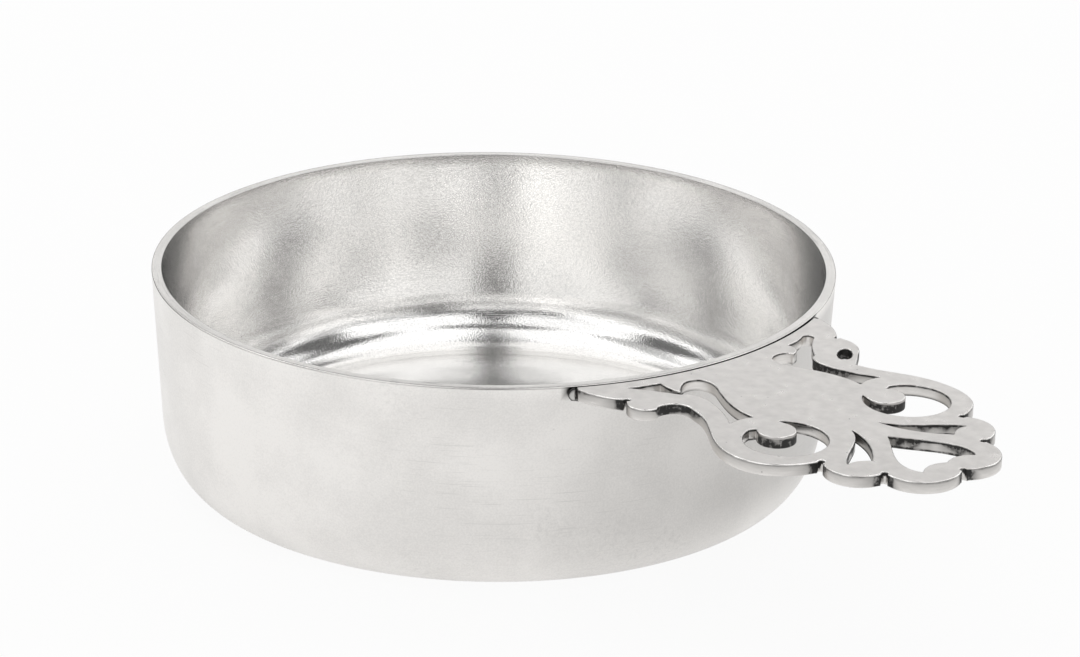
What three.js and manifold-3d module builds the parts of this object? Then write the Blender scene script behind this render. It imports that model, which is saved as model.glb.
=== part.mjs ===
// A silver porringer: a raised bowl with a domed base, and a cast, pierced handle soldered on flush
// with the rim. Millimetres, +Z up, the handle along +X, standing on the table at z = 0.
import * as THREE from 'three';
import Module from 'manifold-3d';
import { mergeVertices } from 'three/addons/utils/BufferGeometryUtils.js';

// Bowl
const rimRadius = 57.15;
const bowlHeight = 36;
const rimWidth = 1.7;
const rimArris = 0.25;
const wallDraft = 3.1;
const wallThickness = 1.35;
const cornerHeight = 10.2;
const cornerWidth = 6.7;
const cornerFullness = 0.55;
const baseThickness = 1.35;
const footWidth = 3.2;
const domeRise = 4.2;

// Handle: its reach runs from the rim to the notch between the end lobes, and its two scrolls lean
// a little to -Y
const handleThickness = 1.95;
const handleReach = 53.95;
const scrollHalfWidth = 22.7;
const crownLean = 0.95;
const eyeLean = 0.4;
const wingAngle = 25.7;
const wingEndWidth = 1.1;
const wingBow = 0.8;
const openCurlRise = 2.1;
const closedCurlRise = 1.3;
const curlBite = 2.2;
const curlEyeLength = 4.8;
const curlEyeWidth = 2.4;
const curlEyeTilt = -46;
const bulbRadius = 3.05;
const eyeRadius = 6.4;
const eyeTailRadius = 7.3;
const sideLobeRise = 3.5;
const endLobeRise = 4.35;
const centreBumpRise = 1;
const slotEndRise = 0.8;

// Notches between the lobes: cuts of a round file that leans, so that they are deepest at the top
const notchDepth = 0.35;
const fileRadius = 0.55;
const fileLean = 35;

// Joint between bowl and handle
const jointGap = 0.3;
const solderWidth = 1.1;
const solderHeight = 1.4;
const solderDropRadius = 1.05;
const solderDropDepth = 0.6;
const solderDropSink = 0.25;

// Facets
const turnSegments = 96;
const curveSteps = 10;
const domeSteps = 5;

const wing = THREE.MathUtils.degToRad(wingAngle);
const draftSlope = Math.tan(THREE.MathUtils.degToRad(wallDraft));
const handleUnderside = bowlHeight - handleThickness;
const jointRadius = rimRadius + jointGap;
const bowlAxis = new THREE.Vector2(0, 0);

const wasm = await Module();
wasm.setup();

// Curves

function point(x, y) {
  return new THREE.Vector2(x, y);
}

function polar(centre, radius, angle) {
  return point(centre.x + radius * Math.cos(angle), centre.y + radius * Math.sin(angle));
}

// The points that a rule gives at even shares of the way from 0 to 1.
function stepped(rule, steps = curveSteps) {
  return Array.from({ length: steps + 1 }, (_, step) => rule(step / steps));
}

function quadratic(from, control, to) {
  return new THREE.QuadraticBezierCurve(from, control, to).getPoints(curveSteps);
}

function cubic(from, leaving, arriving, to) {
  return new THREE.CubicBezierCurve(from, leaving, arriving, to).getPoints(curveSteps);
}

function arc(centre, radius, start, end, steps = curveSteps) {
  return stepped((share) => polar(centre, radius, start + (end - start) * share), steps);
}

// A circular arc between two points that rises to the left of the way from one to the other.
function bow(from, to, rise) {
  const chord = to.clone().sub(from);
  const left = point(-chord.y, chord.x).normalize();
  const radius = (chord.lengthSq() / 4 + rise * rise) / (2 * rise);
  const centre = from.clone().lerp(to, 0.5).addScaledVector(left, rise - radius);
  const start = from.clone().sub(centre).angle();
  const turn = to.clone().sub(centre).angle() - start;
  const fullTurn = 2 * Math.PI * Math.sign(rise);
  const sweep = turn * rise > 0 ? turn - fullTurn : turn;
  return arc(centre, Math.abs(radius), start, start + sweep);
}

// Joins stretches end to end and drops the points that two neighbours share.
function joined(...stretches) {
  const points = stretches.flat();
  return points.filter((each, index) => index === 0 || each.distanceTo(points[index - 1]) > 1e-6);
}

function mirrored(points) {
  return points.map((each) => point(each.x, -each.y)).reverse();
}

// Solids

function turned(profile) {
  return new THREE.LatheGeometry(profile, turnSegments).rotateX(Math.PI / 2);
}

function extruded(shape, bottom, height) {
  const geometry = new THREE.ExtrudeGeometry(shape, { depth: height, bevelEnabled: false });
  return geometry.translate(0, 0, bottom);
}

function solid(geometry) {
  const bare = geometry.clone();
  bare.deleteAttribute('normal');
  bare.deleteAttribute('uv');
  const welded = mergeVertices(bare);
  const vertProperties = new Float32Array(welded.attributes.position.array);
  const triVerts = new Uint32Array(welded.index.array);
  return new wasm.Manifold(new wasm.Mesh({ numProp: 3, vertProperties, triVerts }));
}

function surface(body) {
  const mesh = body.getMesh();
  const geometry = new THREE.BufferGeometry();
  geometry.setAttribute('position', new THREE.BufferAttribute(mesh.vertProperties, 3));
  geometry.setIndex(new THREE.BufferAttribute(mesh.triVerts, 1));
  geometry.computeVertexNormals();
  return geometry;
}

// Bowl: one sheet, thickest at the rim, with a domed base that stands on a narrow flat ring

function outsideRadius(height) {
  return rimRadius - (bowlHeight - height) * draftSlope;
}

// A shallow spherical cap, from its crown on the axis out to its edge.
function cap(edge, rise) {
  const sphere = (edge.x ** 2 + rise ** 2) / (2 * rise);
  const spread = Math.asin(edge.x / sphere);
  const centreHeight = edge.y + rise - sphere;
  return stepped((share) => point(
    sphere * Math.sin(spread * share),
    centreHeight + sphere * Math.cos(spread * share),
  ), domeSteps);
}

// The rounded corner between wall and base, from the base's edge up to the foot of the wall.
function corner(baseEdge, wallFoot) {
  const run = cornerFullness * (wallFoot.x - baseEdge.x);
  const drop = cornerFullness * (wallFoot.y - baseEdge.y);
  return cubic(
    baseEdge,
    point(baseEdge.x + run, baseEdge.y),
    point(wallFoot.x - drop * draftSlope, wallFoot.y - drop),
    wallFoot,
  );
}

function bowlGeometry() {
  const wallFoot = point(outsideRadius(cornerHeight), cornerHeight);
  const ringOuter = point(wallFoot.x - cornerWidth, 0);
  const ringInner = point(ringOuter.x - footWidth, 0);
  const arrisFoot = point(outsideRadius(bowlHeight - rimArris), bowlHeight - rimArris);
  const rimOuter = point(rimRadius - rimArris, bowlHeight);
  const rimInner = point(rimRadius - rimWidth, bowlHeight);
  const insideFoot = point(wallFoot.x - wallThickness, cornerHeight);
  const channel = point(ringOuter.x - wallThickness, baseThickness);
  const domeEdge = point(ringInner.x, baseThickness);
  return turned(joined(
    cap(ringInner, domeRise),
    corner(ringOuter, wallFoot),
    quadratic(arrisFoot, point(rimRadius, bowlHeight), rimOuter),
    [rimInner],
    corner(channel, insideFoot).reverse(),
    cap(domeEdge, domeRise).reverse(),
  ));
}

// Handle: a flat casting, nearly the same on both sides of its axis. Its curls beside the bowl differ,
// one open and one closed round a small eye, and each side's lean is -1 at +Y and 1 at -Y.

// A place on the handle, as shares of its reach from the rim and of its half width from the axis.
function place(along, across) {
  return point(rimRadius + along * handleReach, across * scrollHalfWidth);
}

const curlNotch = place(0.062, 0.962);
const scrollNotch = place(0.725, 0.634);
const lobeNotch = place(0.889, 0.445);
const middleNotch = place(1, 0);
const nearToothTip = place(0.108, 0.586);
const farToothTip = place(0.084, 0.5);

// A place moved away from the handle's axis.
function outwards(from, distance) {
  return point(from.x, from.y + distance);
}

function openCurl() {
  const lip = place(0.164, 0.921);
  const foot = place(0.229, 0.727);
  return joined(bow(curlNotch, lip, openCurlRise), bow(lip, foot, -curlBite));
}

function closedCurl() {
  const shoulder = place(0.19, 0.89);
  const foot = place(0.255, 0.718);
  return joined(bow(curlNotch, shoulder, closedCurlRise), [foot]);
}

// One side's outer edge, from the wing on the bowl to the notch between the end lobes.
function outerEdge(curl, lean) {
  const wingRoot = polar(bowlAxis, jointRadius, wing);
  const wingEnd = polar(bowlAxis, jointRadius + wingEndWidth, wing);
  const curlFoot = curl[curl.length - 1];
  const crown = outwards(place(0.55, 1), lean * crownLean);
  const beforeCrown = outwards(place(0.414, 1), lean * crownLean);
  const pastCrown = outwards(place(0.645, 1), lean * crownLean);
  return joined(
    [wingRoot],
    bow(wingEnd, curlNotch, wingBow),
    curl,
    cubic(curlFoot, place(0.349, 0.758), beforeCrown, crown),
    cubic(crown, pastCrown, place(0.708, 0.865), scrollNotch),
    bow(scrollNotch, lobeNotch, sideLobeRise),
    bow(lobeNotch, middleNotch, endLobeRise),
  );
}

// The long slot's end beside the bowl, from the strap's side to the tooth's: a point on one side of the
// handle and rounded on the other.
function pointedSlotEnd() {
  return [place(-0.008, 0.828)];
}

function roundedSlotEnd() {
  return bow(place(0.024, 0.824), place(-0.007, 0.788), -slotEndRise);
}

// The long slot between plate and strap, with a tooth of the plate across its wider end.
function slot(end, toothTip) {
  const strapSide = end[0];
  const toothSide = end[end.length - 1];
  const toothRoot = place(0.021, 0.59);
  const humpFoot = place(0.057, 0.423);
  const humpEnd = place(0.157, 0.352);
  const plateTail = place(0.375, 0.493);
  const strapTail = place(0.37, 0.69);
  const strapBend = place(0.125, 0.612);
  return joined(
    end,
    quadratic(toothSide, place(0.016, 0.7), toothRoot),
    quadratic(toothRoot, place(0.068, 0.625), toothTip),
    quadratic(toothTip, place(0.06, 0.5), humpFoot),
    cubic(humpFoot, place(0.057, 0.29), place(0.112, 0.29), humpEnd),
    cubic(humpEnd, place(0.229, 0.436), place(0.294, 0.511), plateTail),
    quadratic(plateTail, place(0.355, 0.573), strapTail),
    cubic(strapTail, place(0.266, 0.537), place(0.146, 0.467), strapBend),
    quadratic(strapBend, place(0.062, 0.7), strapSide).slice(0, -1),
  );
}

// The scroll's eye: a spiral that opens out round the bulb in which the strap ends.
function scrollEye(lean) {
  const eyeCentre = outwards(place(0.55, 0.567), lean * eyeLean);
  const bulbCentre = outwards(place(0.484, 0.5), lean * eyeLean);
  const neckStart = THREE.MathUtils.degToRad(-103);
  const neckEnd = THREE.MathUtils.degToRad(135);
  const throatAngle = THREE.MathUtils.degToRad(164);
  const tailAngle = THREE.MathUtils.degToRad(-146);
  const bulb = arc(bulbCentre, bulbRadius, neckStart, neckEnd, 2 * curveSteps);
  const spiral = stepped((share) => {
    const radius = eyeRadius + (eyeTailRadius - eyeRadius) * share ** 4;
    return polar(eyeCentre, radius, throatAngle + (tailAngle - throatAngle) * share);
  }, 3 * curveSteps);
  return joined(bulb, spiral);
}

function drop() {
  const tip = place(0.609, 0.117);
  const outerCorner = place(0.785, 0.544);
  const innerCorner = place(0.807, 0.372);
  return joined(
    cubic(tip, place(0.692, 0.185), place(0.716, 0.43), outerCorner),
    quadratic(outerCorner, place(0.772, 0.458), innerCorner),
    cubic(innerCorner, place(0.753, 0.233), place(0.689, 0.141), tip).slice(0, -1),
  );
}

// The opening in the middle, with two bumps that meet in a cusp on the axis.
function centreOpening() {
  const tip = place(0.705, 0);
  const shoulder = place(0.902, 0.269);
  const innerCorner = place(0.948, 0.236);
  const cusp = place(0.939, 0);
  const half = joined(
    cubic(tip, place(0.776, 0.106), place(0.831, 0.26), shoulder),
    quadratic(shoulder, place(0.935, 0.27), innerCorner),
    bow(innerCorner, cusp, -centreBumpRise),
  );
  return joined(half, mirrored(half)).slice(0, -1);
}

function curlEye() {
  const tilt = THREE.MathUtils.degToRad(curlEyeTilt);
  const centre = place(0.175, 0.789);
  const ellipse = new THREE.EllipseCurve(
    centre.x, centre.y, curlEyeLength / 2, curlEyeWidth / 2, 0, 2 * Math.PI, false, tilt,
  );
  return ellipse.getPoints(2 * curveSteps).slice(0, -1);
}

function handleOutline() {
  const farEdge = outerEdge(closedCurl(), -1);
  const nearEdge = mirrored(outerEdge(openCurl(), 1));
  const jointEdge = arc(bowlAxis, jointRadius, -wing, wing, 3 * curveSteps).slice(1, -1);
  return joined(farEdge, nearEdge, jointEdge).reverse();
}

// The round file, laid in one notch of the outline.
function notchFile(outline, notch) {
  const index = outline.findIndex((each) => each.distanceTo(notch) < 1e-6);
  const before = outline[index - 1].clone().sub(notch).normalize();
  const after = outline[index + 1].clone().sub(notch).normalize();
  const outward = before.add(after).normalize();
  const lean = THREE.MathUtils.degToRad(fileLean);
  const middle = notch.clone().addScaledVector(outward, fileRadius / Math.cos(lean) - notchDepth);
  const axis = new THREE.Vector3(-outward.x * Math.sin(lean), -outward.y * Math.sin(lean), Math.cos(lean));
  const length = 4 * handleThickness;
  const file = new THREE.CylinderGeometry(fileRadius, fileRadius, length, curveSteps);
  file.applyQuaternion(new THREE.Quaternion().setFromUnitVectors(new THREE.Vector3(0, 1, 0), axis));
  return solid(file.translate(middle.x, middle.y, bowlHeight));
}

function handleGeometry(outline) {
  const shape = new THREE.Shape(outline);
  const farSide = [curlEye(), slot(roundedSlotEnd(), farToothTip), scrollEye(-1), drop()];
  const nearSide = [slot(pointedSlotEnd(), nearToothTip), scrollEye(1), drop()].map(mirrored);
  const openings = [centreOpening(), ...farSide, ...nearSide];
  shape.holes = openings.map((points) => new THREE.Path(points));
  const farNotches = [curlNotch, scrollNotch, lobeNotch];
  const notches = [...farNotches, middleNotch, ...mirrored(farNotches)];
  const casting = solid(extruded(shape, handleUnderside, handleThickness));
  const cuts = notches.map((notch) => notchFile(outline, notch));
  return surface(cuts.reduce((body, cut) => body.subtract(cut), casting));
}

// Solder: a fillet under the handle, along the joint, with a drop that stands at each wing's end

function solderFillet() {
  const bottom = handleUnderside - solderHeight;
  const foot = point(outsideRadius(bottom) + jointGap, bottom);
  const innerEdge = point(outsideRadius(handleUnderside) + jointGap, handleUnderside);
  const outerEdgeTop = point(innerEdge.x + solderWidth, handleUnderside);
  const hollow = innerEdge.clone().lerp(foot.clone().lerp(outerEdgeTop, 0.5), 0.4);
  const section = joined(quadratic(foot, hollow, outerEdgeTop), [innerEdge, foot]);
  const spread = wing + (jointGap + solderDropRadius / 2) / jointRadius;
  const farOut = 2 * jointRadius;
  const sector = new THREE.Shape([
    bowlAxis,
    polar(bowlAxis, farOut, -spread),
    polar(bowlAxis, farOut, spread),
  ]);
  return solid(turned(section)).intersect(solid(extruded(sector, 0, bowlHeight)));
}

// A half-round drop on edge, its flat side towards the end of the wing at +Y.
function solderDrop() {
  const halfRound = arc(bowlAxis, solderDropRadius, -Math.PI / 2, Math.PI / 2);
  const standing = extruded(new THREE.Shape(halfRound), 0, solderDropDepth);
  const angle = wing + jointGap / jointRadius;
  const middle = polar(bowlAxis, jointRadius, angle);
  const along = new THREE.Vector3(-Math.sin(angle), Math.cos(angle), 0);
  const up = new THREE.Vector3(0, 0, 1);
  const outward = new THREE.Vector3(Math.cos(angle), Math.sin(angle), 0);
  const upright = new THREE.Matrix4().makeBasis(along, up, outward);
  upright.setPosition(middle.x, middle.y, handleUnderside + solderDropRadius - solderDropSink);
  return solid(standing.applyMatrix4(upright));
}

function solderGeometry() {
  const farDrop = solderDrop();
  const nearDrop = farDrop.mirror([0, 1, 0]);
  return surface(solderFillet().add(farDrop).add(nearDrop));
}

// Assembly: the handle's end and the bowl's far side lie equally far from the origin

const outline = handleOutline();
const handleTip = Math.max(...outline.map((each) => each.x));
const bowlReach = outsideRadius(bowlHeight - rimArris);
const axisPlace = (bowlReach - handleTip) / 2;

function piece(name, geometry, colour, roughness) {
  const material = new THREE.MeshStandardMaterial({ color: colour, roughness, metalness: 1 });
  const mesh = new THREE.Mesh(geometry, material);
  mesh.name = name;
  mesh.position.x = axisPlace;
  return mesh;
}

const porringer = new THREE.Group();
porringer.add(
  piece('bowl', bowlGeometry(), 0xd6d4cf, 0.3),
  piece('handle', handleGeometry(outline), 0xcfccc7, 0.34),
  piece('solder_fillet', solderGeometry(), 0x9b9892, 0.5),
);

export default porringer;
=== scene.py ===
"""A silver porringer: satin bowl, pierced cast handle with dark patina in its piercings, solder seam."""
import math

import bpy
from mathutils import Matrix, Vector, noise
from mathutils.bvhtree import BVHTree
from mathutils.geometry import delaunay_2d_cdt, interpolate_bezier


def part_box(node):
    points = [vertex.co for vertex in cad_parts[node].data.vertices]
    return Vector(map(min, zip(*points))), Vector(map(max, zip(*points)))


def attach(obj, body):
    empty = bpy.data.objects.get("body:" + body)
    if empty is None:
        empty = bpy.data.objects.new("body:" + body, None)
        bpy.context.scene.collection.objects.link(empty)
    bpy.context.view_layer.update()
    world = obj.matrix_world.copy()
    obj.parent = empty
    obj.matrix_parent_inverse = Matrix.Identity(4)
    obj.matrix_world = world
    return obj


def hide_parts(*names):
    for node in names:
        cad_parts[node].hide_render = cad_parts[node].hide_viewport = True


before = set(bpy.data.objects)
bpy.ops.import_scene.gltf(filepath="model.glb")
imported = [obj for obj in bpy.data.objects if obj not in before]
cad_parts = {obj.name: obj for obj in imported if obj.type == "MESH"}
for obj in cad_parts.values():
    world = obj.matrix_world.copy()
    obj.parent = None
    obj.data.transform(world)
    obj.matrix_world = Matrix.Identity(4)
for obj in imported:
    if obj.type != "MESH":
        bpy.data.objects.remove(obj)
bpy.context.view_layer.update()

MM = 0.001
SAME_PLACE = 1e-6

# Bowl sizes that its box doesn't give
RIM_WIDTH = 1.7 * MM
RIM_ARRIS = 0.25 * MM
RIM_INNER_ARRIS = 0.12 * MM
WALL_DRAFT = math.tan(math.radians(3.1))
WALL_THICKNESS = 1.35 * MM
CORNER_HEIGHT = 10.2 * MM
CORNER_WIDTH = 6.7 * MM
CORNER_FULLNESS = 0.55
BASE_THICKNESS = 1.35 * MM
FOOT_WIDTH = 3.2 * MM
DOME_RISE = 4.2 * MM
CREASE_ROUNDING = 0.7 * MM
ROUNDING_PULL = 0.6

# Steps round the bowl and along its profile
TURN_STEPS = 256
CORNER_STEPS = 28
DOME_STEPS = 24
WALL_STEPS = 12
LAND_STEPS = 4
ROUNDING_STEPS = 5
RIM_ARRIS_STEPS = 6

# Painted shade on the outer wall, greyer under the handle and past it, and the black seam beside the
# handle with its overrun in radians
WALL_SHADE = 0.34
WALL_SHADE_MIDDLE = math.radians(20)
WALL_SHADE_SPREAD = math.radians(45)
WALL_SHADE_FOOT = 3 * MM
WALL_SHADE_RISE = 8 * MM
SEAM_WIDTH = 0.3 * RIM_ARRIS
SEAM_FOOT = 0.4 * MM
SEAM_OVERRUN = 0.02

# Handle edges
ARRIS_ROUNDING = 0.22 * MM
ARRIS_STEPS = 3
ARRIS_FIT = 0.7
ARRIS_SLOPE = 0.35
WALL_DEPTHS = (0.34, 0.5, 0.8, 1.1, 1.4)
LIP_ROUNDING = 1.25 * ARRIS_ROUNDING
NOTCH_ROUNDING = 0.12 * MM
CORNER_ROOM = 0.4
CORNER_PULL = 0.55
CORNER_POINTS = 6
OUTLINE_STEP = 0.35 * MM
SHARP_TURN = math.radians(24)
JOINT_REACH = 0.6 * MM
FILL_TOLERANCE = 1e-9

# Notches of the handle's edge, in mm from the bowl's axis: three pairs and one in the middle
PAIRED_NOTCHES = ((60.5, 21.84), (96.26, 14.39), (105.11, 10.1))
MIDDLE_NOTCH = (111.1, 0.0)
NOTCHES = [(x, y * side) for x, y in PAIRED_NOTCHES for side in (1, -1)] + [MIDDLE_NOTCH]
NOTCH_REACH = 0.8 * MM
NOTCH_DEPTH = 0.35 * MM
NOTCH_LIP = 0.6 * MM

# Patina round the notches, in mm: a clean facet and soot beside it; and painted shade to either side
FACET_TOP = 0.12
FACET_SPREAD = 0.3
FACET_PATINA = 0.15
SOOT_REACH = 2.1
SHADE_BEFORE = 4.5
SHADE_AFTER = 2.2
NOTCH_SHADE_STRENGTH = 0.65
SHADE_FADE = 0.12

# Patina on the handle's walls, by depth in mm: lines below the edge and at the foot, bulbs; and painted
# shade, darker towards the top of the outer walls
DARKNESS_LIMIT = 0.9
SHUT_PATINA = 0.2
EDGE_LINE = 0.52
EDGE_LINE_INSIDE = 1.3
EDGE_LINE_OUTSIDE = 0.3
FOOT_LINE = 1.5
FOOT_LINE_GAIN = 2.2
BULB_TURN = 0.25
BULB_GAIN = 2.2
BULB_EDGE = 0.15
BULB_FADE = 0.5
BULB_LEAST = 0.1
BULB_PATINA = 0.85
UPPER_WALL_SHADE = 0.4
UPPER_WALL_SHADE_FADE = 0.22
# Share of the rubbed wear and painted edge highlight on the piercings' walls
INSIDE_RUBBING_AND_HIGHLIGHT = 0.5
BULGE_SPAN = 1.2 * MM
RAY_ANGLES = (-40, -15, 0, 15, 40)
RAY_START = 0.05 * MM
OPEN_WAY = 12 * MM

# Spots that polishing missed, or kept clean where the strength is negative: x and y from the bowl's
# axis and radius, all in mm, and strength
PATINA_SPOTS = (
    # The far strap beside the plate, and the far curl's eye
    (65.0, 13.0, 2.2, 0.8), (68.0, 13.4, 2.2, 0.8), (71.2, 13.4, 2.0, 0.6), (66.6, 17.9, 2.8, 1.3),
    # The near curl's bite
    (65.2, -19.2, 1.6, 0.8), (66.4, -17.6, 1.7, 0.6), (68.2, -17.4, 1.7, 0.7), (70.4, -16.2, 1.6, 0.45),
    # The near wing, tooth and slot end
    (52.6, -24.4, 2.0, 0.4), (61.6, -11.9, 1.5, 0.8), (56.9, -18.4, 1.4, 0.7),
    # The middle opening's far wall
    (96.4, 1.0, 1.4, 0.8), (98.7, 2.1, 1.1, 0.95), (100.6, 3.0, 0.9, 0.85), (102.6, 4.2, 1.2, 0.6),
    (104.6, 5.4, 1.8, 0.85), (107.5, 6.0, 1.0, 0.6),
    # The far drop, the near drop and the metal between the near drop and the middle opening
    (91.5, 3.6, 1.5, 0.4), (95.4, 7.2, 1.8, 0.55), (97.4, 10.0, 1.5, 0.5),
    (94.9, -6.9, 1.8, 0.5), (97.2, -9.8, 1.8, 0.65), (99.1, -12.1, 1.2, 0.6),
    (95.6, -4.3, 2.4, 0.3), (98.6, -6.3, 2.0, 0.3),
    # The two scroll eyes
    (80.4, -15.6, 1.4, 0.4), (91.7, 16.5, 1.6, 0.4),
    # Clean walls in the two slots
    (61.4, 10.6, 2.2, -1.2), (57.3, 18.6, 1.6, -0.8), (62.5, -7.0, 2.2, -0.5),
)
SPOT_TOP = 1.1
SPOT_FADE = 0.35
CLEAN_TOP = 0.2
CLEAN_FADE = 0.3

# Solder: the fillet's section runs across and up from its foot on the wall, and each layer of a drop
# gives its share of the depth, its size and its tarnish
WING_ANGLE = math.radians(25.7)
JOINT_GAP = 0.3 * MM
FILLET_STEPS = 90
FILLET_SECTION = ((0.0, 0.0), (0.16, 0.42), (0.42, 0.78), (0.97, 1.0), (0.1, 1.0))
FILLET_OFFSET = 1.05 * JOINT_GAP
FILLET_TAPER = 6
FILLET_END = 0.25
FILLET_TARNISH = 0.6
LUMP_DEPTH = 0.25
LUMPS_ALONG = 60
LUMPS_ACROSS = 2
DROP_RADIUS = 1.05 * MM
DROP_DEPTH = 0.6 * MM
DROP_SINK = 0.25 * MM
DROP_STEPS = 12
DROP_CROWN = 0.35
DROP_LAYERS = ((0.0, 1.0, 1.0), (0.5, 1.0, 1.0), (0.75, 0.93, 0.9), (0.93, 0.78, 0.3), (1.0, 0.55, 0.0))

# Finishes of the bowl: height of the hammer waves, depth of the grain, strength of the mottling, and how
# much of the colour a scratch leaves
BOWL_FINISHES = {
    "outside": {
        "colour": (0.945, 0.924, 0.9), "metallic": 1.0, "roughness": 0.3,
        "wave": 4.0, "grain": 0.4, "mottle": 0.75, "scratch": 0.8,
    },
    "rim": {
        "colour": (0.72, 0.705, 0.685), "metallic": 1.0, "roughness": 0.2,
        "wave": 0.0, "grain": 0.3, "mottle": 0.6, "scratch": 0.7,
    },
    "inside": {
        "colour": (0.985, 0.977, 0.965), "metallic": 0.92, "roughness": 0.09,
        "wave": 3.0, "grain": 1.1, "mottle": 0.5, "scratch": 0.9,
    },
    "well": {
        "colour": (0.88, 0.872, 0.858), "metallic": 0.94, "roughness": 0.15,
        "wave": 3.0, "grain": 1.0, "mottle": 0.6, "scratch": 0.85,
    },
    "under": {
        "colour": (0.87, 0.86, 0.84), "metallic": 1.0, "roughness": 0.32,
        "wave": 4.0, "grain": 0.3, "mottle": 0.8, "scratch": 0.8,
    },
}
LATHE_STRETCH = 60.0
PITLESS_SHARE = 0.7
PIT_FLOOR = 0.4
BOWL_RELIEF = 0.02 * MM
CLOUD_SHADE = 0.87
PIT_SHADE = 0.55
# Near black of the seam, which mixed in partly also paints the grey shade on the outer wall
BOWL_SEAM_AND_SHADE = (0.03, 0.029, 0.027)

# Finishes of the casting and the solder
CAST_SILVER = (0.845, 0.82, 0.795)
CAST_ROUGHNESS = 0.3
SOLDER_GREY = (0.66, 0.65, 0.63)
SOLDER_ROUGHNESS = 0.42
STREAK_STRETCH = 7.0
HATCHING_STRETCH = 0.2
CAST_RELIEF = 0.03 * MM
STREAK_SHADE = 0.86
GRIME_SHADE = 0.35
PATINA_BLACK = (0.02, 0.019, 0.018)
# White of the rubbed arrises, which also paints their highlight
RUBBED_AND_HIGHLIT_WHITE = (0.97, 0.96, 0.94)

# Camera: distance and rise from the middle of the rim in rim radii, and turns in radians
LENS = 135.0
SENSOR = 36.0
CAMERA_DISTANCE = 11.1361
CAMERA_RISE = 4.0937
CAMERA_AZIMUTH = math.radians(51.29)
CAMERA_PITCH = 0.3688
CAMERA_YAW = 0.0115
CAMERA_ROLL = 0.0110
CAMERA_CLIP = 0.01

# Stage: the floor in metres, and how much of the plain background the camera and the metal see
FLOOR_HALF = 4.0
FLOOR_COLOUR = (0.9, 0.9, 0.89)
FLOOR_IN_CAMERA = 0.92
FLOOR_IN_METAL = 0.6
ROOM_COLOUR = (0.08, 0.08, 0.08)
WORLD_IN_CAMERA = 1.0
WORLD_IN_METAL = 0.05

# Lamps: name, azimuth and elevation, width and height in degrees of the sky, and brightness; azimuth 0 is
# straight behind the bowl
LAMP_DISTANCE = 2.0
LAMP_AIM_HEIGHT = 20 * MM
LAMPS = (
    ("back_left_softbox", -50, 38, 58, 31, 0.88),
    ("back_right_softbox", 50, 38, 54, 29, 0.88),
    ("back_top_softbox", 0, 53, 60, 22, 1.08),
    ("left_top_softbox", -93, 72, 66, 28, 1.05),
    ("right_top_softbox", 93, 72, 66, 28, 1.07),
    ("left_side_softbox", 255, 52, 45, 16, 0.4),
    ("front_left_softbox", 214, 36, 46, 23, 1.0),
    ("front_right_softbox", 145, 36, 48, 25, 1.02),
    ("back_card", 10, 20, 68, 14, 1.05),
    ("right_card", 72, 20, 60, 14, 1.0),
    ("left_card", -81, 20, 36, 14, 0.8),
    ("front_right_card", 126, 20, 50, 14, 0.4),
    ("front_left_card", 236, 16, 56, 18, 1.1),
    ("front_card", 181, 10, 56, 12, 0.4),
)

bowl_low, bowl_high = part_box("bowl")
handle_low, handle_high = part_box("handle")
AXIS_X = (bowl_low.x + bowl_high.x) / 2
HEIGHT = bowl_high.z
RIM_RADIUS = (bowl_high.x - bowl_low.x) / 2 + RIM_ARRIS * WALL_DRAFT
HANDLE_TOP = handle_high.z
HANDLE_BOTTOM = handle_low.z


# Meshes and curves

def new_object(name, vertices, faces, materials, face_slots=None):
    mesh = bpy.data.meshes.new(name)
    mesh.from_pydata(vertices, [], faces)
    for material in materials:
        mesh.materials.append(material)
    if face_slots:
        mesh.polygons.foreach_set("material_index", face_slots)
    mesh.polygons.foreach_set("use_smooth", [True] * len(mesh.polygons))
    mesh.update()
    obj = bpy.data.objects.new(name, mesh)
    bpy.context.scene.collection.objects.link(obj)
    return obj


def point_values(obj, name, values):
    layer = obj.data.attributes.new(name, "FLOAT", "POINT")
    layer.data.foreach_set("value", values)


def clamped(value, low=0.0):
    return min(1.0, max(low, value))


def curve(start, leaving, arriving, end, steps):
    return [Vector(p) for p in interpolate_bezier(start, leaving, arriving, end, steps)]


def eased(start, corner, end, pull, steps):
    """A curve between two points that is pulled towards the corner between them."""
    return curve(start, start.lerp(corner, pull), end.lerp(corner, pull), end, steps)


def around(ring):
    """Each point of a ring with the next one."""
    return zip(ring, [*ring[1:], ring[0]])


def band(ring, onward):
    """The faces from one ring of points on to the next, which has as many."""
    return [(c, a, b, d) for (a, b), (c, d) in zip(around(ring), around(onward))]


# Bowl

def outside_radius(height):
    return RIM_RADIUS - (HEIGHT - height) * WALL_DRAFT


def corner_curve(base_edge, wall_foot):
    run = CORNER_FULLNESS * (wall_foot.x - base_edge.x)
    drop = CORNER_FULLNESS * (wall_foot.y - base_edge.y)
    leaving = Vector((base_edge.x + run, base_edge.y))
    arriving = Vector((wall_foot.x - drop * WALL_DRAFT, wall_foot.y - drop))
    return curve(base_edge, leaving, arriving, wall_foot, CORNER_STEPS)


def dome_curve(edge):
    sphere = (edge.x ** 2 + DOME_RISE ** 2) / (2 * DOME_RISE)
    spread = math.asin(edge.x / sphere)
    middle = edge.y + DOME_RISE - sphere
    angles = [spread * step / DOME_STEPS for step in range(DOME_STEPS + 1)]
    return [Vector((sphere * math.sin(a), middle + sphere * math.cos(a))) for a in angles]


def rounded(before, corner, after, size):
    """A corner cut off by a small curve that starts and ends at that distance from it."""
    start = corner + (before - corner).normalized() * size
    end = corner + (after - corner).normalized() * size
    return eased(start, corner, end, ROUNDING_PULL, ROUNDING_STEPS)


def between(start, end, steps):
    return [start.lerp(end, step / steps) for step in range(1, steps)]


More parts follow.
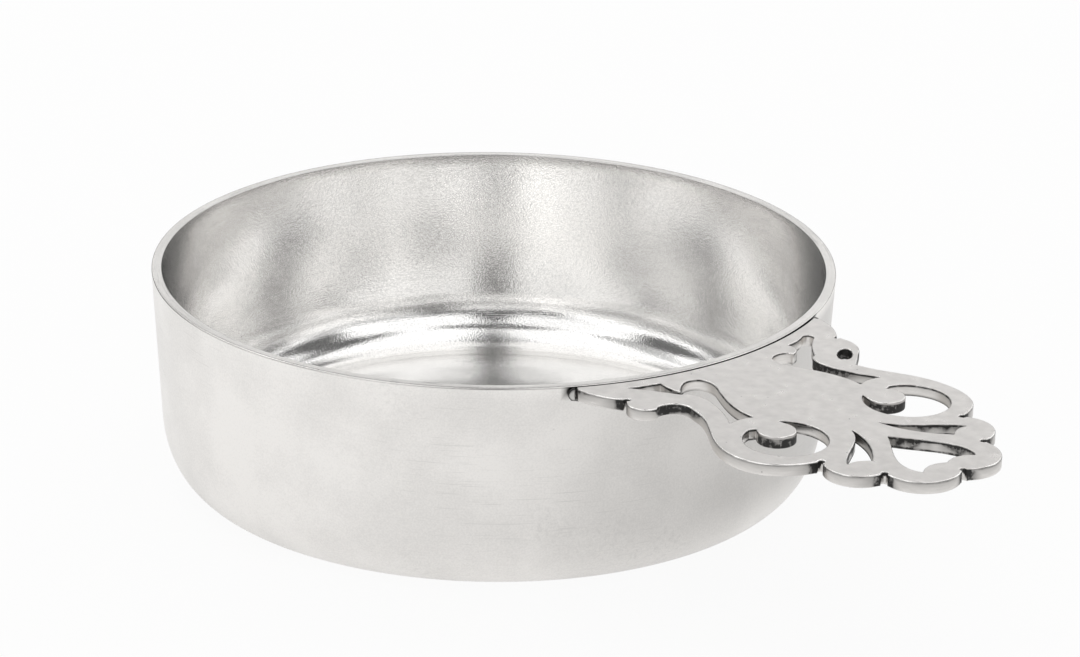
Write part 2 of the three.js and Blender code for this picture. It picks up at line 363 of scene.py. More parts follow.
def bowl_stretches():
    """The profile as (finish, points) stretches, from the axis under the base to the axis inside."""
    wall_foot = Vector((outside_radius(CORNER_HEIGHT), CORNER_HEIGHT))
    ring_outer = Vector((wall_foot.x - CORNER_WIDTH, 0.0))
    ring_inner = Vector((ring_outer.x - FOOT_WIDTH, 0.0))
    arris_foot = Vector((outside_radius(HEIGHT - RIM_ARRIS), HEIGHT - RIM_ARRIS))
    rim_corner = Vector((RIM_RADIUS, HEIGHT))
    rim_outer = Vector((RIM_RADIUS - RIM_ARRIS, HEIGHT))
    rim_inner = Vector((RIM_RADIUS - RIM_WIDTH, HEIGHT))
    inside_foot = Vector((wall_foot.x - WALL_THICKNESS, CORNER_HEIGHT))
    channel = Vector((ring_outer.x - WALL_THICKNESS, BASE_THICKNESS))
    dome_edge = Vector((ring_inner.x, BASE_THICKNESS))
    under = dome_curve(ring_inner)
    inside = dome_curve(dome_edge)[::-1]
    return [
        ("under", under[:-1]),
        ("under", rounded(under[-2], ring_inner, ring_outer, CREASE_ROUNDING)),
        ("outside", corner_curve(ring_outer, wall_foot)),
        ("outside", between(wall_foot, arris_foot, WALL_STEPS)),
        ("rim", eased(arris_foot, rim_corner, rim_outer, ROUNDING_PULL, RIM_ARRIS_STEPS)),
        ("rim", between(rim_outer, rim_inner, LAND_STEPS)),
        ("rim", rounded(rim_outer, rim_inner, inside_foot, RIM_INNER_ARRIS)),
        ("inside", between(rim_inner, inside_foot, WALL_STEPS)),
        ("inside", corner_curve(channel, inside_foot)[::-1]),
        ("well", rounded(channel, dome_edge, inside[1], CREASE_ROUNDING)),
        ("well", inside[1:]),
    ]


def painted_wall_shade(p, angle):
    """Painted shade: a grey on the outer wall under the handle and past it, that fades out towards the
    foot.
    """
    aside = (angle - WALL_SHADE_MIDDLE + math.pi) % (2 * math.pi) - math.pi
    rise = clamped((p.y - WALL_SHADE_FOOT) / WALL_SHADE_RISE)
    return WALL_SHADE * rise * math.exp(-((aside / WALL_SHADE_SPREAD) ** 2))


# Black at the seam beside the handle; elsewhere on the outer wall, the painted shade
def bowl_seam_and_shade(p, finish, angle):
    at_seam = p.x > RIM_RADIUS - SEAM_WIDTH and p.y > HANDLE_BOTTOM - SEAM_FOOT
    if at_seam and math.cos(angle) > math.cos(WING_ANGLE + SEAM_OVERRUN):
        return 1.0
    return painted_wall_shade(p, angle) if finish == "outside" else 0.0


def bowl_profile():
    """The profile's points and the finish of each."""
    profile = []
    finish_of = []
    for finish, points in bowl_stretches():
        for p in points:
            if not profile or (p - profile[-1]).length > SAME_PLACE:
                profile.append(p)
                finish_of.append(finish)
    return profile, finish_of


def bowl_band(ring, onward):
    """The faces between two rings of the bowl, of which one can be a single point on the axis."""
    if len(ring) == 1:
        return [(ring[0], b, a) for a, b in around(onward)]
    if len(onward) == 1:
        return [(a, b, onward[0]) for a, b in around(ring)]
    return [(a, b, d, c) for (a, b), (c, d) in zip(around(ring), around(onward))]


def make_bowl(finishes):
    slots = {name: index for index, name in enumerate(finishes)}
    profile, finish_of = bowl_profile()
    vertices = []
    along = []
    tarnish_and_shade = []
    rings = []
    length = 0.0
    for index, (p, finish) in enumerate(zip(profile, finish_of)):
        length += (p - profile[index - 1]).length if index else 0.0
        count = 1 if p.x < SAME_PLACE else TURN_STEPS
        rings.append(range(len(vertices), len(vertices) + count))
        for step in range(count):
            angle = 2 * math.pi * step / TURN_STEPS
            vertices.append((AXIS_X + p.x * math.cos(angle), p.x * math.sin(angle), p.y))
            along.append(length)
            # The seam's black and the outer wall's painted shade, kept on each point
            tarnish_and_shade.append(bowl_seam_and_shade(p, finish, angle))
    faces = []
    face_slots = []
    for index, (below, above) in enumerate(zip(finish_of, finish_of[1:])):
        faces.extend(bowl_band(rings[index], rings[index + 1]))
        face_slots.extend([slots[below if above == "rim" else above]] * TURN_STEPS)
    bowl = new_object("bowl_sheet", vertices, faces, list(finishes.values()), face_slots)
    point_values(bowl, "along", along)
    point_values(bowl, "tarnish_and_shade", tarnish_and_shade)
    return bowl


# Handle

def welded(node):
    """A node's points and faces, with the points that share a place made one."""
    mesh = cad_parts[node].data
    places = {}
    index_of = []
    for vertex in mesh.vertices:
        key = tuple(round(c / SAME_PLACE) for c in vertex.co)
        index_of.append(places.setdefault(key, len(places)))
    points = [Vector(key) * SAME_PLACE for key in places]
    faces = [[index_of[v] for v in polygon.vertices] for polygon in mesh.polygons]
    return points, faces


def top_loops(node, height):
    """The outlines of a node's flat top, each a list of points with the material on its left."""
    points, faces = welded(node)
    edges = set()
    for face in faces:
        if all(abs(points[v].z - height) < SAME_PLACE for v in face):
            edges.update(around(face))
    onward = {a: b for a, b in edges if (b, a) not in edges}
    loops = []
    while onward:
        first, following = onward.popitem()
        loop = [first]
        while following != first:
            loop.append(following)
            following = onward.pop(following)
        loops.append([points[v].xy for v in loop])
    return loops


def turn_at(loop, index):
    """The turn at an outline point, positive where the material has a corner that stands out."""
    before = loop[index] - loop[index - 1]
    after = loop[(index + 1) % len(loop)] - loop[index]
    return math.atan2(before.cross(after), before.dot(after))


def corner_cut(turn, room):
    """How far from a corner its rounding starts."""
    radius = LIP_ROUNDING if turn > 0 else NOTCH_ROUNDING
    return min(radius * math.tan(abs(turn) / 2), room * CORNER_ROOM)


def refined(loop):
    """The outline with its round stretches made smooth and its corners slightly rounded."""
    count = len(loop)
    turns = [turn_at(loop, index) for index in range(count)]
    sharp = [abs(turn) > SHARP_TURN for turn in turns]
    spans = [loop[(index + 1) % count] - loop[index] for index in range(count)]
    cuts = []
    tangents = []
    for index in range(count):
        before = spans[index - 1]
        after = spans[index]
        tangents.append((before.normalized() + after.normalized()).normalized())
        room = min(before.length, after.length)
        cuts.append(corner_cut(turns[index], room) if sharp[index] else 0.0)
    fine = []
    for index in range(count):
        following = (index + 1) % count
        way = spans[index].normalized()
        a = loop[index] + way * cuts[index]
        b = loop[following] - way * cuts[following]
        if sharp[index]:
            corner = loop[index]
            entry = corner - spans[index - 1].normalized() * cuts[index]
            fine.extend(eased(entry, corner, a, CORNER_PULL, CORNER_POINTS)[:-1])
        leaving = way if sharp[index] else tangents[index]
        arriving = way if sharp[following] else tangents[following]
        reach = (b - a).length / 3
        steps = max(2, math.ceil((b - a).length / OUTLINE_STEP) + 1)
        fine.extend(curve(a, a + leaving * reach, b - arriving * reach, b, steps)[:-1])
    return [p for index, p in enumerate(fine) if (p - fine[index - 1]).length > SAME_PLACE]


def outward(loop):
    """At each point of an outline, the direction out of the material."""
    normals = []
    for index in range(len(loop)):
        way = loop[(index + 1) % len(loop)] - loop[index - 1]
        normals.append(Vector((way.y, -way.x)).normalized())
    return normals


def arris_room(loop, ways_out):
    """For each outline point, the share of the arris that fits there: less on lips too sharp to round."""
    count = len(loop)
    lengths = [(loop[(index + 1) % count] - p).length for index, p in enumerate(loop)]
    room = [ARRIS_ROUNDING] * count
    for index in range(count):
        following = (index + 1) % count
        way = (loop[following] - loop[index]) / lengths[index]
        spread = (ways_out[following] - ways_out[index]).dot(way)
        if spread > 0:
            limit = ARRIS_FIT * lengths[index] / spread
            room[index] = min(room[index], limit)
            room[following] = min(room[following], limit)
    for index in range(1 - count, count):
        room[index] = min(room[index], room[index - 1] + ARRIS_SLOPE * lengths[index - 1])
    for index in range(count - 2, -count - 1, -1):
        room[index] = min(room[index], room[index + 1] + ARRIS_SLOPE * lengths[index])
    return [size / ARRIS_ROUNDING for size in room]


def shut_in(loop, walls):
    """For each outline point, how closely other walls of the handle face it, from 0 to 1."""
    mid_height = (HANDLE_TOP + HANDLE_BOTTOM) / 2
    values = []
    for p, n in zip(loop, outward(loop)):
        if at_joint(p):
            values.append(1.0)
            continue
        shut = 0.0
        for angle in RAY_ANGLES:
            way = (Matrix.Rotation(math.radians(angle), 2) @ n).to_3d()
            start = Vector((p.x, p.y, mid_height)) + way * RAY_START
            reach = walls.ray_cast(start, way, OPEN_WAY)[3]
            shut += 0.0 if reach is None else 1 - reach / OPEN_WAY
        values.append(shut / len(RAY_ANGLES))
    return values


def at_joint(p):
    return math.hypot(p.x - AXIS_X, p.y) < RIM_RADIUS + JOINT_REACH


def bulge(loop):
    """For each outline point, the turn over a short span, in radians, positive where the metal swells."""
    count = len(loop)
    ways = [loop[(index + 1) % count] - p for index, p in enumerate(loop)]
    values = []
    for index in range(count):
        ahead = index
        way_ahead = 0.0
        while way_ahead < BULGE_SPAN:
            way_ahead += ways[ahead % count].length
            ahead += 1
        behind = index
        way_behind = 0.0
        while way_behind < BULGE_SPAN:
            behind -= 1
            way_behind += ways[behind % count].length
        first = ways[behind % count]
        last = ways[(ahead - 1) % count]
        values.append(math.atan2(first.cross(last), first.dot(last)))
    return values


def notch_ways(loop):
    """The handle's notches as (place, way out of the metal), both in plan."""
    ways_out = outward(loop)
    notches = []
    for x, y in NOTCHES:
        place = Vector((AXIS_X + x * MM, y * MM))
        near = [n for p, n in zip(loop, ways_out) if (p - place).length < 2 * NOTCH_REACH]
        notches.append((place, sum(near, Vector((0, 0))).normalized()))
    return notches


def inside_outline(p, loops):
    crossings = 0
    for loop in loops:
        for a, b in around(loop):
            if (a.y > p.y) != (b.y > p.y):
                if p.x < a.x + (p.y - a.y) * (b.x - a.x) / (b.y - a.y):
                    crossings += 1
    return crossings % 2 == 1


def filled(loops):
    """The flat face between outlines: points, triangles, and the outline points each point stands for."""
    edges = []
    start = 0
    for loop in loops:
        edges.extend(around(range(start, start + len(loop))))
        start += len(loop)
    corners = [p for loop in loops for p in loop]
    points, _, triangles, origins, _, _ = delaunay_2d_cdt(corners, edges, [], 0, FILL_TOLERANCE)
    kept = []
    for triangle in triangles:
        middle = sum((points[v] for v in triangle), Vector((0, 0))) / 3
        if inside_outline(middle, loops):
            kept.append(triangle)
    return points, kept, origins


class HandleMesh:
    """The casting's points, each with its normal, its tarnish and painted shade, its rubbing and painted
    edge highlight, and its faces.
    """

    def __init__(self):
        self.vertices = []
        self.normals = []
        self.tarnish_and_shade = []
        self.rubbed_and_highlit = []
        self.faces = []

    def point(self, place, z, normal, tarnish_and_shade, rubbed_and_highlit):
        self.vertices.append((place.x, place.y, z))
        self.normals.append(normal)
        self.tarnish_and_shade.append(tarnish_and_shade)
        self.rubbed_and_highlit.append(rubbed_and_highlit)
        return len(self.vertices) - 1


def wall_rings():
    """Rings down a wall as (inset, height, lean of the normal from upright), the top arris first."""
    top = []
    bottom = []
    for step in range(ARRIS_STEPS + 1):
        lean = math.pi / 2 * step / ARRIS_STEPS
        inset = ARRIS_ROUNDING * (1 - math.sin(lean))
        drop = ARRIS_ROUNDING * (1 - math.cos(lean))
        top.append((inset, HANDLE_TOP - drop, lean))
        bottom.append((inset, HANDLE_BOTTOM + drop, math.pi - lean))
    middle = [(0.0, HANDLE_TOP - depth * MM, math.pi / 2) for depth in WALL_DEPTHS]
    return top + middle + bottom[::-1]


def spot_patina(p, depth):
    """What the missed spots add to a wall's patina and the clean spots take from it."""
    darkness = 0.0
    for x, y, radius, strength in PATINA_SPOTS:
        away = math.hypot(p.x - AXIS_X - x * MM, p.y - y * MM) / (radius * MM)
        missed = SPOT_TOP - SPOT_FADE * depth
        reach = missed if strength > 0 else clamped((depth - CLEAN_TOP) / CLEAN_FADE)
        darkness += strength * reach * math.exp(-(away ** 2))
    return darkness


def wall_patina_and_shade(p, shut, swelling, inner, depth):
    """Patina on one spot of a wall, dark below the edge, on bulbs and where no cloth reaches, and painted
    shade towards the top of an outer wall.
    """
    edge_line = clamped(1 - depth / EDGE_LINE)
    darkness = SHUT_PATINA * shut + spot_patina(p, depth)
    if inner:
        bulb = clamped((swelling - BULB_TURN) * BULB_GAIN)
        darkness += edge_line * EDGE_LINE_INSIDE * (1 - bulb)
        darkness += clamped((depth - BULB_EDGE) / BULB_FADE, low=BULB_LEAST) * BULB_PATINA * bulb
        darkness += max(0.0, depth - FOOT_LINE) * FOOT_LINE_GAIN
    else:
        darkness += edge_line * EDGE_LINE_OUTSIDE
        # Painted shade, darker towards the top of the outer walls
        darkness += max(0.0, UPPER_WALL_SHADE - UPPER_WALL_SHADE_FADE * depth)
    return max(0.0, darkness)


def notch_patina_and_shade(p, notch, way_out, depth):
    """Patina round a notch and painted shade beside it: black sides that fade along the wall into the
    painted shade, and a facet that widens downwards.
    """
    if (p - notch).length < (FACET_TOP + FACET_SPREAD * depth) * MM:
        return FACET_PATINA
    away = (p - notch - way_out * NOTCH_LIP).length / MM
    notch_dark = math.exp(-((away / SOOT_REACH) ** 2))
    spread = SHADE_BEFORE if p.x < notch.x else SHADE_AFTER
    # Painted shade: a grey that fades along the wall, further on the side towards the bowl
    shade = (NOTCH_SHADE_STRENGTH - SHADE_FADE * depth) * math.exp(-((away / spread) ** 2))
    return max(notch_dark, shade)


def with_notch_darkening(darkness, p, notches, depth):
    """A spot's patina together with the patina and painted shade of the notches around it."""
    for notch, way_out in notches:
        notch_dark = notch_patina_and_shade(p, notch, way_out, depth)
        darkness = notch_dark if (p - notch).length < NOTCH_REACH else max(darkness, notch_dark)
    return darkness


def filed(loop, notches, share_down):
    """The outline lower down the edge, where the leaning file cut the notches less deep."""
    lower = []
    for p in loop:
        moved = p.copy()
        for notch, way_out in notches:
            share = (p - notch).length / NOTCH_REACH
            if share < 1:
                moved += way_out * NOTCH_DEPTH * share_down * (1 - share ** 2)
        lower.append(moved)
    return lower


def add_wall(mesh, loop, notches, walls):
    """One outline's wall with its two arrises, as rings of points; a piercing has no notches."""
    inner = not notches
    shut = shut_in(loop, walls)
    swelling = bulge(loop)
    rings = []
    for inset, z, lean in wall_rings():
        rings.append(range(len(mesh.vertices), len(mesh.vertices) + len(loop)))
        depth = HANDLE_TOP - z
        on_wall = math.sin(lean) ** 2
        # Rubbed wear and a painted highlight on the arrises, strongest half way round each
        rubbed_and_highlit = abs(math.sin(2 * lean)) * (INSIDE_RUBBING_AND_HIGHLIGHT if inner else 1.0)
        edge = filed(loop, notches, depth / (HANDLE_TOP - HANDLE_BOTTOM))
        ways_out = outward(edge)
        room = arris_room(edge, ways_out)
        for p, at, n, fits, closed, swell in zip(loop, edge, ways_out, room, shut, swelling):
            darkness = DARKNESS_LIMIT if at_joint(p) else wall_patina_and_shade(p, closed, swell, inner, depth / MM)
            darkness = min(DARKNESS_LIMIT, with_notch_darkening(darkness, p, notches, depth / MM))
            normal = Vector((n.x * math.sin(lean), n.y * math.sin(lean), math.cos(lean)))
            mesh.point(at - n * inset * fits, z, normal, darkness * on_wall, rubbed_and_highlit)
    for upper, lower in zip(rings, rings[1:]):
        mesh.faces.extend(band(lower, upper))
    return rings


def add_flat(mesh, edges, z, up):
    """The flat face between the edges of all the walls, facing up (1) or down (-1)."""
    outlines = [[Vector(mesh.vertices[v][:2]) for v in edge] for edge in edges]
    edge_points = [v for edge in edges for v in edge]
    points, triangles, origins = filled(outlines)
    placed = []
    for p, origin in zip(points, origins):
        if origin:
            placed.append(edge_points[origin[0]])
        else:
            placed.append(mesh.point(p, z, Vector((0, 0, up)), 0.0, 0.0))
    for triangle in triangles:
        face = [placed[v] for v in triangle]
        mesh.faces.append(face if up > 0 else face[::-1])


def make_handle(material):
    loops = [refined(loop) for loop in top_loops("handle", HANDLE_TOP)]
    outer = max(loops, key=lambda loop: max(p.x for p in loop))
    notches = notch_ways(outer)
    walls = BVHTree.FromPolygons(*welded("handle"))
    mesh = HandleMesh()
    all_rings = [add_wall(mesh, loop, notches if loop is outer else [], walls) for loop in loops]
    add_flat(mesh, [rings[0] for rings in all_rings], HANDLE_TOP, 1)
    add_flat(mesh, [rings[-1] for rings in all_rings], HANDLE_BOTTOM, -1)
    handle = new_object("handle_casting", mesh.vertices, mesh.faces, [material])
    handle.data.normals_split_custom_set_from_vertices(mesh.normals)
    point_values(handle, "tarnish_and_shade", mesh.tarnish_and_shade)
    point_values(handle, "rubbed_and_highlit", mesh.rubbed_and_highlit)
    return handle


# Solder

def tube(rings):
    """The faces of a closed tube through rings of points that run anticlockwise, seen from the last."""
    faces = [tuple(rings[0][::-1]), tuple(rings[-1])]
    for ring, onward in zip(rings, rings[1:]):
        faces.extend(band(ring, onward))
    return faces


def add_fillet(vertices, faces, tarnish_and_shade):
    """The lumpy fillet under the handle, tapered at its ends."""
    low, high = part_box("solder_fillet")
    half_angle = WING_ANGLE + (JOINT_GAP + DROP_RADIUS / 2) / RIM_RADIUS
    inner = outside_radius(low.z) + FILLET_OFFSET
    width = high.x - AXIS_X - inner
    height = HANDLE_BOTTOM - low.z
    rings = []
    for step in range(FILLET_STEPS + 1):
        rings.append(range(len(vertices), len(vertices) + len(FILLET_SECTION)))
        angle = half_angle * (2 * step / FILLET_STEPS - 1)
        to_end = min(step, FILLET_STEPS - step) / FILLET_STEPS
        taper = min(1.0, FILLET_TAPER * to_end + FILLET_END)
        for across, up in FILLET_SECTION:
            place = Vector((angle * LUMPS_ALONG, across * LUMPS_ACROSS, up * LUMPS_ACROSS))
            lump = 1 - LUMP_DEPTH * abs(noise.noise(place))
            radius = inner + across * width * taper * lump
            z = HANDLE_BOTTOM - (1 - up) * height * taper * lump
            vertices.append((AXIS_X + radius * math.cos(angle), radius * math.sin(angle), z))
            tarnish_and_shade.append(FILLET_TARNISH)
    faces.extend(tube(rings[::-1]))


def add_drop(side, vertices, faces, tarnish_and_shade):
    """A half-round drop that stands on edge at the end of one wing, its outer face softly rounded."""
    joint = RIM_RADIUS + JOINT_GAP
    angle = WING_ANGLE + JOINT_GAP / joint
    middle = HANDLE_BOTTOM + DROP_RADIUS - DROP_SINK
    outline = [(0.0, -1.0)]
    for step in range(1, DROP_STEPS):
        turn = math.pi * (step / DROP_STEPS - 0.5)
        outline.append((math.cos(turn), math.sin(turn)))
    outline.append((0.0, 1.0))
    rings = []
    for depth, size, dirt in DROP_LAYERS:
        rings.append(range(len(vertices), len(vertices) + len(outline)))
        radius = joint + DROP_DEPTH * depth
        for along, up in outline:
            run = (DROP_CROWN * (1 - size) + along * size) * DROP_RADIUS
            x = radius * math.cos(angle) - run * math.sin(angle)
            y = radius * math.sin(angle) + run * math.cos(angle)
            vertices.append((AXIS_X + x, side * y, middle + up * size * DROP_RADIUS))
            tarnish_and_shade.append(dirt)
    faces.extend(tube(rings if side > 0 else rings[::-1]))


def make_solder(material):
    vertices = []
    faces = []
    tarnish_and_shade = []
    add_fillet(vertices, faces, tarnish_and_shade)
    add_drop(1, vertices, faces, tarnish_and_shade)
    add_drop(-1, vertices, faces, tarnish_and_shade)
    solder = new_object("solder_bead", vertices, faces, [material])
    point_values(solder, "tarnish_and_shade", tarnish_and_shade)
    return solder


# Materials

def tinted(colour, share=1.0):
    """A colour taken darker by a share, as a socket wants it."""
    return tuple(c * share for c in colour) + (1.0,)


class Shading:
    """The nodes of a material or the world, with a short call for each kind that is used here."""

    def __init__(self, owner):
        owner.use_nodes = True
        self.nodes = owner.node_tree.nodes
        self.links = owner.node_tree.links

    def feed(self, node, inputs):
        """Links each input to the output given for it, or sets it to the constant given."""
        for name, value in inputs.items():
            if isinstance(value, bpy.types.NodeSocket):
                self.links.new(value, node.inputs[name])
            else:
                node.inputs[name].default_value = value

    def node(self, kind, inputs):
        node = self.nodes.new(kind)
        self.feed(node, inputs)
        return node

    def place(self):
        return self.nodes.new("ShaderNodeTexCoord").outputs["Object"]

    def attribute(self, name):
        node = self.nodes.new("ShaderNodeAttribute")
        node.attribute_name = name
        return node.outputs["Fac"]

    def noise(self, vector, scale, detail=3.0, roughness=0.5):
        inputs = {"Vector": vector, "Scale": scale, "Detail": detail, "Roughness": roughness}
        return self.node("ShaderNodeTexNoise", inputs).outputs["Fac"]

    def ramp(self, value, start=0.0, end=1.0, low=0.0, high=1.0):
        """Low up to the start, high from the end on, and a straight slope between."""
        inputs = {"Value": value, "From Min": start, "From Max": end, "To Min": low, "To Max": high}
        return self.node("ShaderNodeMapRange", inputs).outputs["Result"]

    def combine(self, operation, a, b):
        node = self.nodes.new("ShaderNodeMath")
        node.operation = operation
        self.feed(node, {0: a, 1: b})
        return node.outputs["Value"]

    def times(self, a, b):
        return self.combine("MULTIPLY", a, b)

    def total(self, first, *others):
        for value in others:
            first = self.combine("ADD", first, value)
        return first

    def mix(self, factor, a, b):
        node = self.nodes.new("ShaderNodeMix")
        node.data_type = "RGBA"
        self.feed(node, {"Factor": factor, "A": a, "B": b})
        return node.outputs["Result"]

    def stretched(self, vector, upright):
        """Coordinates that run at another rate upright than across."""
        inputs = {"Vector": vector, "Scale": (1.0, 1.0, upright)}
        return self.node("ShaderNodeMapping", inputs).outputs["Vector"]

    def turned(self, place):
        """Coordinates that run slowly round the bowl and quickly along its profile, for lathe marks."""
        split = self.node("ShaderNodeSeparateXYZ", {"Vector": place})
        along = self.times(self.attribute("along"), LATHE_STRETCH)
        inputs = {"X": split.outputs["X"], "Y": split.outputs["Y"], "Z": along}
        return self.node("ShaderNodeCombineXYZ", inputs).outputs["Vector"]

    def pits(self, place, scale, size):
        """1 in the few small round pits of a surface, 0 elsewhere."""
        cells = self.node("ShaderNodeTexVoronoi", {"Vector": place, "Scale": scale})
        near = self.ramp(cells.outputs["Distance"], PIT_FLOOR * size, size, low=1.0, high=0.0)
        split = self.node("ShaderNodeSeparateColor", {"Color": cells.outputs["Color"]})
        chosen = self.combine("GREATER_THAN", split.outputs["Red"], PITLESS_SHARE)
        return self.times(near, chosen)

    def metal(self, colour, metallic, roughness, height, relief):
        """Sets the surface, with its relief given by a height in units of that depth."""
        bump = self.node("ShaderNodeBump", {"Height": height, "Distance": relief, "Strength": 1.0})
        self.feed(self.nodes["Principled BSDF"], {
            "Base Color": colour,
            "Metallic": metallic,
            "Roughness": roughness,
            "Normal": bump.outputs["Normal"],
        })


def bowl_silver(name, colour, metallic, roughness, wave, grain, mottle, scratch):
    """Satin silver: slow hammer waves, clouds of wear, lathe marks, a grain, scuffs, scratches, pits."""
    material = bpy.data.materials.new(name)
    tree = Shading(material)
    place = tree.place()
    turned = tree.turned(place)
    waves = tree.noise(place, scale=70.0, detail=1.0)
    marks = tree.noise(turned, scale=60.0, detail=6.0, roughness=0.65)
    clouds = tree.noise(place, scale=60.0, detail=4.0)
    grains = tree.noise(place, scale=3200.0, detail=2.0)
    lines = tree.noise(turned, scale=110.0, detail=1.0)
    patches = tree.noise(place, scale=28.0, detail=1.0)
    rubbing = tree.noise(place, scale=1100.0, detail=4.0, roughness=0.7)
    handled = tree.noise(place, scale=48.0, detail=2.0)
    pitting = tree.pits(place, scale=130.0, size=0.045)
    scratches = tree.times(tree.ramp(lines, 0.66, 0.74), tree.ramp(patches, 0.5, 0.64))
    scuffs = tree.times(tree.ramp(rubbing, 0.5, 0.68, high=0.9), tree.ramp(handled, 0.57, 0.7))

    speckled = tree.total(
        tree.ramp(clouds, 0.38, 0.62, high=mottle),
        tree.ramp(grains, 0.25, 0.75, low=-grain, high=grain),
    )
    clouded = tree.mix(speckled, tinted(colour), tinted(colour, CLOUD_SHADE))
    marked = tree.mix(tree.combine("MAXIMUM", scratches, scuffs), clouded, tinted(colour, scratch))
    pitted = tree.mix(pitting, marked, tinted(colour, PIT_SHADE))
    # Black seam beside the handle, and painted shade on the outer wall under the handle and past it
    seamed_and_shaded = tree.mix(tree.attribute("tarnish_and_shade"), pitted, tinted(BOWL_SEAM_AND_SHADE))

    satin = tree.total(
        tree.ramp(marks, low=roughness - 0.04, high=roughness + 0.05),
        tree.ramp(clouds, low=-0.03, high=0.03),
    )
    height = tree.total(
        tree.times(marks, 0.2),
        tree.times(grains, grain),
        tree.times(scratches, -0.4),
        tree.times(waves, wave),
    )
    tree.metal(seamed_and_shaded, metallic, satin, height, BOWL_RELIEF)
    return material


def patina_silver(name, colour, roughness):
    """Cast silver, bright where it is rubbed and where an edge highlight is painted, greyed by painted
    shade and near black where the tarnish value says so.
    """
    material = bpy.data.materials.new(name)
    tree = Shading(material)
    place = tree.place()
    tarnish_and_shade = tree.attribute("tarnish_and_shade")
    blotches = tree.noise(place, scale=900.0, detail=5.0, roughness=0.65)
    regions = tree.noise(place, scale=300.0, detail=1.0)
    streaks = tree.noise(tree.stretched(place, STREAK_STRETCH), scale=500.0, detail=4.0)
    hatching = tree.noise(tree.stretched(place, HATCHING_STRETCH), scale=1800.0)
    clouds = tree.noise(place, scale=120.0)
    grains = tree.noise(place, scale=4200.0, detail=2.0)
    pitting = tree.pits(place, scale=420.0, size=0.07)

    uneven = tree.total(
        tree.ramp(blotches, low=-1.1, high=1.1),
        tree.ramp(hatching, low=-0.4, high=0.4),
        tree.ramp(regions, low=-0.3, high=0.3),
    )
    dirt = tree.total(tarnish_and_shade, tree.times(uneven, tree.ramp(tarnish_and_shade, 0.45, 0.7)))
    black = tree.ramp(dirt, 0.45, 0.75)
    # Painted shade and light patina: low tarnish values darken the colour smoothly
    grime_and_shade = tree.ramp(tarnish_and_shade, 0.0, 0.6, high=0.95)
    # Rubbed wear and painted highlight on the arrises, in patches
    edge_highlight_and_wear = tree.times(tree.attribute("rubbed_and_highlit"), tree.ramp(regions, 0.42, 0.57, high=0.9))

    mottle = tree.total(
        tree.ramp(clouds, 0.35, 0.7, high=0.3),
        tree.ramp(streaks, 0.35, 0.7, high=0.7),
    )
    clouded = tree.mix(mottle, tinted(colour), tinted(colour, STREAK_SHADE))
    pitted = tree.mix(pitting, clouded, tinted(colour, GRIME_SHADE))
    grimy_and_shaded = tree.mix(grime_and_shade, pitted, tinted(colour, GRIME_SHADE))
    tarnished = tree.mix(black, grimy_and_shaded, tinted(PATINA_BLACK))
    rubbed_and_highlit = tree.mix(edge_highlight_and_wear, tarnished, tinted(RUBBED_AND_HIGHLIT_WHITE))

    polish = tree.total(
        tree.ramp(streaks, low=roughness - 0.07, high=roughness + 0.07),
        tree.ramp(black, high=0.25),
        tree.times(edge_highlight_and_wear, -0.12),
    )
    height = tree.total(
        tree.times(blotches, tree.ramp(black, low=0.05, high=4.0)),
        tree.times(grains, 0.25),
        tree.times(clouds, 0.9),
    )
    tree.metal(rubbed_and_highlit, tree.ramp(black, low=1.0, high=0.25), polish, height, CAST_RELIEF)
    return material


# Stage

def background_share(tree, in_camera, in_metal):
    """How much of the plain background a ray sees, by the kind of ray."""
    path = tree.nodes.new("ShaderNodeLightPath")
    seen = tree.total(
        tree.times(path.outputs["Is Camera Ray"], in_camera),
        tree.times(path.outputs["Is Glossy Ray"], in_metal),
    )
    return tree.combine("MAXIMUM", seen, path.outputs["Is Transmission Ray"])


def floor_material():
    """Pale floor that the camera sees as the white background and the metal as a bright table."""
    material = bpy.data.materials.new("floor_white")
    tree = Shading(material)
    tree.nodes.clear()
    share = background_share(tree, FLOOR_IN_CAMERA, FLOOR_IN_METAL)
    table = tree.node("ShaderNodeBsdfDiffuse", {"Color": tinted(FLOOR_COLOUR)}).outputs["BSDF"]
    white = tree.nodes.new("ShaderNodeEmission").outputs["Emission"]
    mix = tree.node("ShaderNodeMixShader", {0: share, 1: table, 2: white})
    tree.node("ShaderNodeOutputMaterial", {"Surface": mix.outputs["Shader"]})
    return material


def make_floor():
    half = FLOOR_HALF
    corners = [(-half, -half, 0), (half, -half, 0), (half, half, 0), (-half, half, 0)]
    floor = new_object("floor", corners, [(0, 1, 2, 3)], [floor_material()])


def make_world():
    """A dim room that the camera sees as a pale backdrop."""
    world = bpy.data.worlds.new("studio")
    bpy.context.scene.world = world
    tree = Shading(world)
    tree.nodes.clear()
    share = background_share(tree, WORLD_IN_CAMERA, WORLD_IN_METAL)
    room = tree.node("ShaderNodeBackground", {"Color": tinted(ROOM_COLOUR)}).outputs["Background"]
    backdrop = tree.nodes.new("ShaderNodeBackground").outputs["Background"]
    mix = tree.node("ShaderNodeMixShader", {0: share, 1: room, 2: backdrop})
    tree.node("ShaderNodeOutputWorld", {"Surface": mix.outputs["Shader"]})


def camera_place():
    rim_middle = Vector((AXIS_X, 0, HEIGHT))
    offset = Vector((0, -CAMERA_DISTANCE, CAMERA_RISE)) * RIM_RADIUS
    return rim_middle + Matrix.Rotation(CAMERA_AZIMUTH, 3, "Z") @ offset


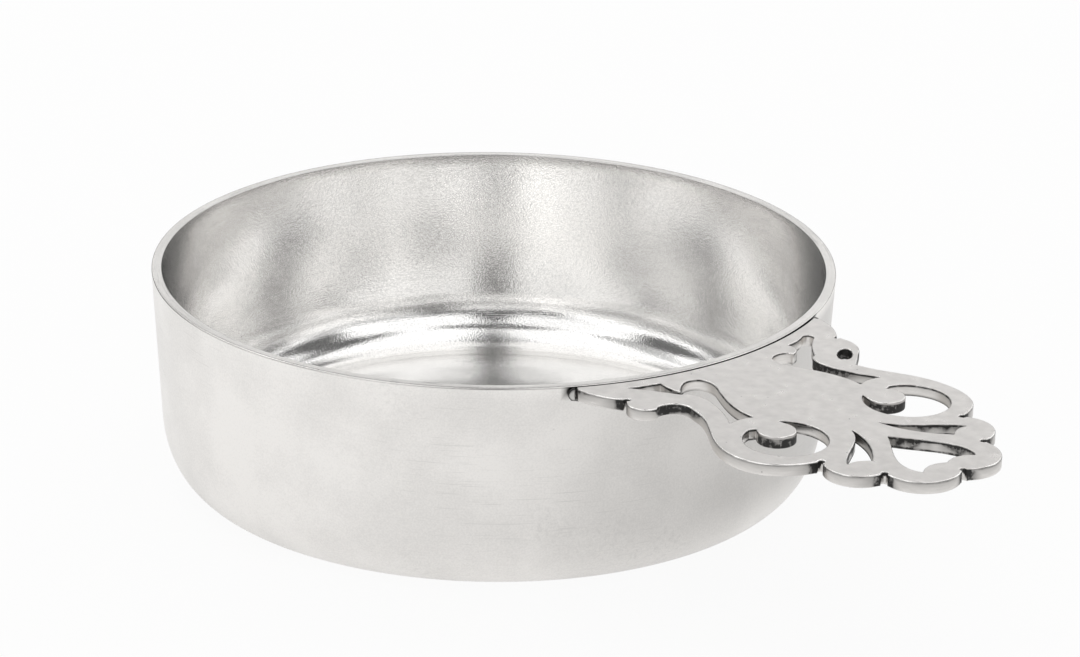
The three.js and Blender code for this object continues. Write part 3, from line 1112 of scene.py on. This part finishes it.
def make_camera():
    data = bpy.data.cameras.new("camera")
    data.lens = LENS
    data.sensor_width = SENSOR
    data.sensor_fit = "HORIZONTAL"
    data.clip_start = CAMERA_CLIP
    camera = bpy.data.objects.new("camera", data)
    bpy.context.scene.collection.objects.link(camera)
    turn = Matrix.Rotation(CAMERA_AZIMUTH, 4, "Z")
    tilt = Matrix.Rotation(math.pi / 2 - CAMERA_PITCH, 4, "X")
    yaw = Matrix.Rotation(-CAMERA_YAW, 4, "Y")
    roll = Matrix.Rotation(CAMERA_ROLL, 4, "Z")
    camera.matrix_world = Matrix.Translation(camera_place()) @ turn @ tilt @ yaw @ roll
    bpy.context.scene.camera = camera


def softbox(name, azimuth, elevation, width, height, brightness):
    """A soft lamp that fills width by height degrees of the sky and faces the bowl."""
    turn = math.radians(azimuth)
    rise = math.radians(elevation)
    data = bpy.data.lights.new(name, "AREA")
    data.shape = "RECTANGLE"
    data.size = 2 * LAMP_DISTANCE * math.tan(math.radians(width) / 2)
    data.size_y = 2 * LAMP_DISTANCE * math.tan(math.radians(height) / 2)
    data.energy = math.pi * data.size * data.size_y * brightness
    lamp = bpy.data.objects.new(name, data)
    lamp.visible_camera = False
    bpy.context.scene.collection.objects.link(lamp)
    level = math.cos(rise)
    way = Vector((math.sin(turn) * level, math.cos(turn) * level, math.sin(rise)))
    place = Matrix.Rotation(CAMERA_AZIMUTH, 3, "Z") @ way * LAMP_DISTANCE
    lamp.location = Vector((AXIS_X, 0, LAMP_AIM_HEIGHT)) + place
    lamp.rotation_euler = (-place).to_track_quat("-Z", "Y").to_euler()


# Assembly

finishes = {name: bowl_silver("silver_" + name, **values) for name, values in BOWL_FINISHES.items()}
bowl = make_bowl(finishes)
handle = make_handle(patina_silver("cast_silver", CAST_SILVER, CAST_ROUGHNESS))
solder = make_solder(patina_silver("solder_grey", SOLDER_GREY, SOLDER_ROUGHNESS))
for piece, node, slot in (
    (bowl, "bowl", "bowl_silver"),
    (handle, "handle", "handle_silver"),
    (solder, "solder_fillet", "solder"),
):
    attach(piece, "root")
    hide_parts(node)

make_floor()
make_world()
for lamp in LAMPS:
    softbox(*lamp)
make_camera()
bpy.context.scene.view_settings.view_transform = "Standard"
